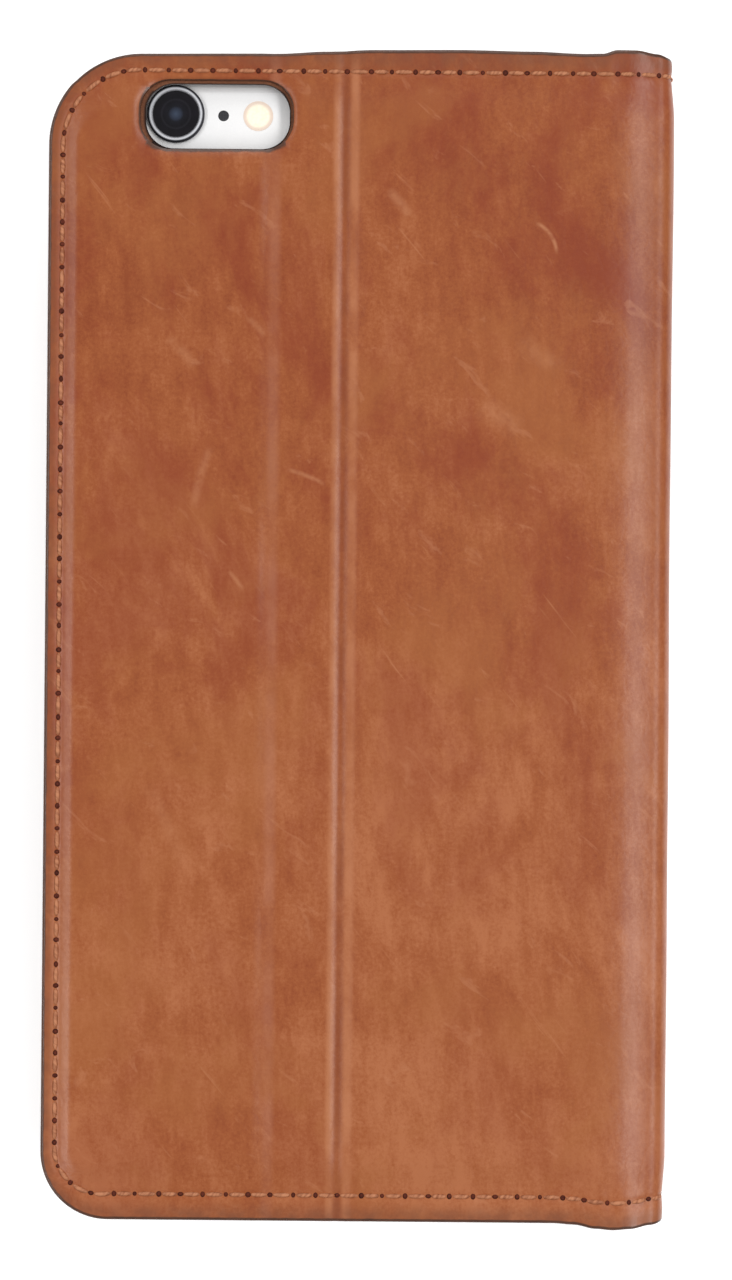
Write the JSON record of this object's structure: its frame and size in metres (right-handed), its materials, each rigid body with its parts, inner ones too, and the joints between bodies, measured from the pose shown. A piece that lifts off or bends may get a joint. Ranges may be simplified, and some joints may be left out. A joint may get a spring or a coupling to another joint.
{
  "type": "phone wallet case",
  "caption": "Leather book cover for a phone, with card pockets, a plastic cradle, a camera window and a folding stand flap.",
  "frame": {"origin": "middle of the closed case's footprint, on the outer face of the front cover", "axes": "+X towards the spine, +Y towards the top of the phone, +Z out of the back cover, where the camera window is"},
  "size_m": [0.088, 0.1658, 0.0165],
  "materials": {
    "leather": "waxed pull-up, smooth",
    "pocket_leather": "smooth",
    "lining": "suede microfibre",
    "thread": "waxed thread",
    "board": "fibre board",
    "cradle": "fine matt",
    "adhesive": "soft",
    "phone_metal": "bead blasted",
    "phone_front": "polished",
    "phone_display": "polished",
    "phone_button": "gloss",
    "phone_mesh": "fine mesh",
    "camera_ring": "turned",
    "camera_black": "matt",
    "camera_glass": "coated",
    "flash": "diffusing",
    "port_metal": "satin"
  },
  "bodies": {
    "front_cover": {"front_leather": "leather", "front_board": "board", "front_lining": "lining", "front_thread": "thread", "cash_pocket_panel": "lining", "card_pocket_1": "pocket_leather", "card_pocket_2": "pocket_leather", "card_pocket_3": "pocket_leather", "pocket_thread": "thread"},
    "spine": {"spine_leather": "leather", "spine_board": "board", "spine_lining": "lining", "spine_thread": "thread"},
    "back_cover": {"back_leather": "leather", "back_board": "board", "back_lining": "lining", "back_thread": "thread", "cradle_shell": "cradle", "cradle_adhesive_pad": "adhesive", "phone_housing": "phone_metal", "phone_glass": "phone_front", "phone_screen": "phone_display", "phone_earpiece": "phone_mesh", "phone_camera_ring": "camera_ring", "phone_camera_barrel": "camera_black", "phone_camera_lens": "camera_glass", "phone_flash_lens": "flash", "phone_rear_mic": "phone_mesh", "phone_charge_port": "port_metal"},
    "fold_strip": {"strip_leather": "leather", "strip_board": "board", "strip_lining": "lining", "strip_thread": "thread"},
    "stand_flap": {"flap_leather": "leather", "flap_board": "board", "flap_lining": "lining", "flap_thread": "thread"},
    "power_button": {"phone_power_button": "phone_metal"},
    "volume_up_button": {"phone_volume_up": "phone_metal"},
    "volume_down_button": {"phone_volume_down": "phone_metal"},
    "mute_switch": {"phone_mute_switch": "phone_metal"},
    "home_button": {"phone_home_button": "phone_button"}
  },
  "joints": [
    {"name": "front_to_spine", "type": "hinge", "parent": "front_cover", "child": "spine", "pos_m": [0.04283, 0, 0.00117], "axis": [0, 1, 0], "range_deg": [0, 90]},
    {"name": "spine_to_back", "type": "hinge", "parent": "spine", "child": "back_cover", "pos_m": [0.04283, 0, 0.01533], "axis": [0, 1, 0], "range_deg": [0, 90]},
    {"name": "stand_fold", "type": "hinge", "parent": "back_cover", "child": "fold_strip", "pos_m": [-0.0027, 0, 0.0165], "axis": [0, -1, 0], "range_deg": [-100, 0]},
    {"name": "stand_flap_fold", "type": "hinge", "parent": "fold_strip", "child": "stand_flap", "pos_m": [-0.0128, 0, 0.0165], "axis": [0, -1, 0], "range_deg": [-40, 0]},
    {"name": "power_press", "type": "slide", "parent": "back_cover", "child": "power_button", "axis": [1, 0, 0], "range_m": [0, 0.00025], "stiffness_N_per_m": 300},
    {"name": "volume_up_press", "type": "slide", "parent": "back_cover", "child": "volume_up_button", "axis": [-1, 0, 0], "range_m": [0, 0.00025], "stiffness_N_per_m": 300},
    {"name": "volume_down_press", "type": "slide", "parent": "back_cover", "child": "volume_down_button", "axis": [-1, 0, 0], "range_m": [0, 0.00025], "stiffness_N_per_m": 300},
    {"name": "mute_slide", "type": "slide", "parent": "back_cover", "child": "mute_switch", "axis": [0, 0, 1], "range_m": [0, 0.0012]},
    {"name": "home_press", "type": "slide", "parent": "back_cover", "child": "home_button", "axis": [0, 0, 1], "range_m": [0, 0.00025], "stiffness_N_per_m": 300}
  ],
  "couplings": [
    {"joint": "stand_flap_fold", "follows": "stand_fold", "ratio": 0.4}
  ]
}
